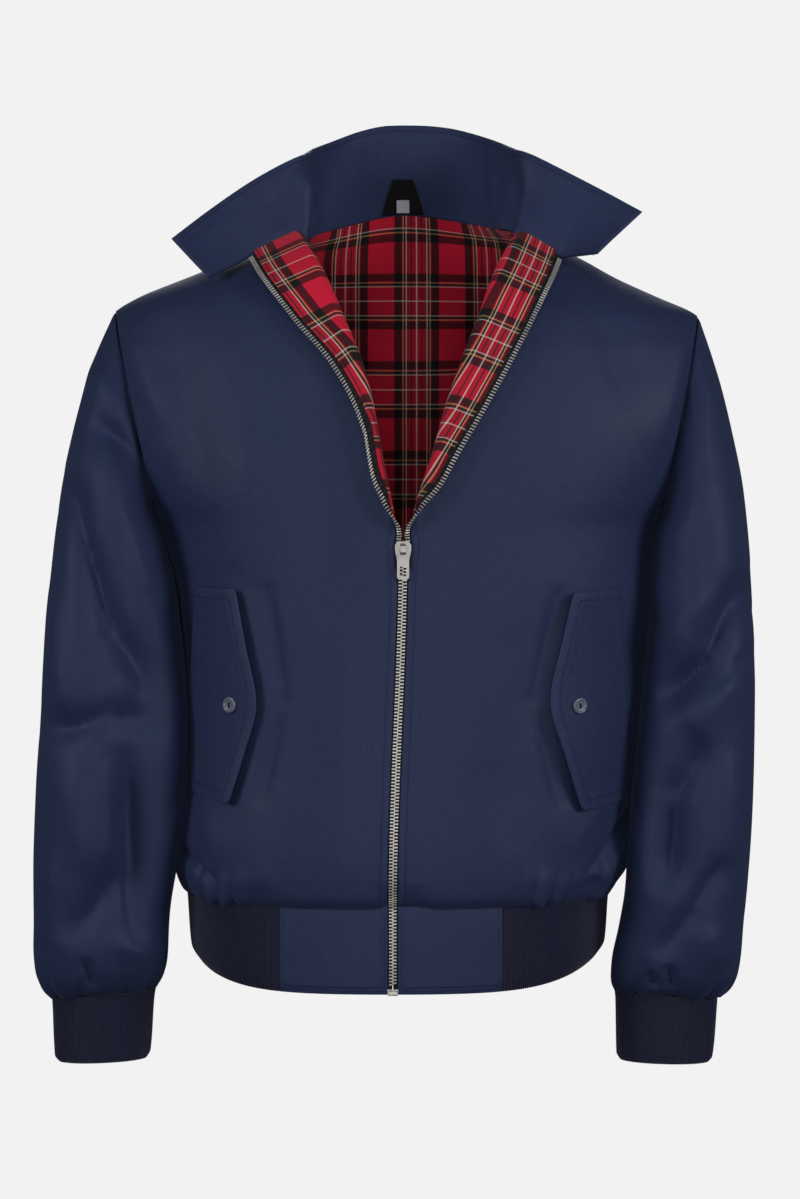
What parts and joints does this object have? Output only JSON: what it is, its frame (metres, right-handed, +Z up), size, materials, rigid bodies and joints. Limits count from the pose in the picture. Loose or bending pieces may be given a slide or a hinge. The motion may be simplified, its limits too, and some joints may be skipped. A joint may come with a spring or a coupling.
{
  "type": "harrington jacket",
  "caption": "Zip-front blouson jacket filled out as worn, with rolled open neck, tartan lining, turned-up collar, slanting buttoned flap pockets, ribbed hem and cuffs.",
  "frame": {"origin": "between the shoulders, level with the neck's side, where the wearer holds the jacket up", "axes": "+Z up along the body, front faces -Y, +X towards the wearer's left"},
  "size_m": [0.6092, 0.2663, 0.7975],
  "materials": {
    "shell": "navy twill, soft sheen",
    "rib": "dark navy rib knit",
    "lining": "red tartan cotton",
    "tape": "black woven tape",
    "metal": "nickel-coloured zip metal",
    "button": "grey-blue, slightly glossy",
    "label": "bare black woven label",
    "size_tab": "bare pale woven tab"
  },
  "bodies": {
    "jacket": {"front_left": "shell", "front_right": "shell", "back": "shell", "sleeve_left": "shell", "sleeve_right": "shell", "collar": "shell", "pocket_flap_left": "shell", "pocket_flap_right": "shell", "hem_tab_left": "shell", "hem_tab_right": "shell", "hem_rib": "rib", "cuff_left": "rib", "cuff_right": "rib", "lining_front_left": "lining", "lining_front_right": "lining", "lining_back": "lining", "zip_tape_left": "tape", "zip_tape_right": "tape", "zip_slider": "metal", "zip_box": "metal", "button_left": "button", "button_right": "button", "neck_label": "label", "size_tab": "size_tab"},
    "pull": {"zip_pull": "metal"}
  },
  "joints": [
    {"name": "pull_hinge", "type": "hinge", "parent": "jacket", "child": "pull", "pos_m": [-0.00002, -0.13674, -0.25681], "axis": [-1, 0, 0], "range_deg": [0, 160]}
  ]
}
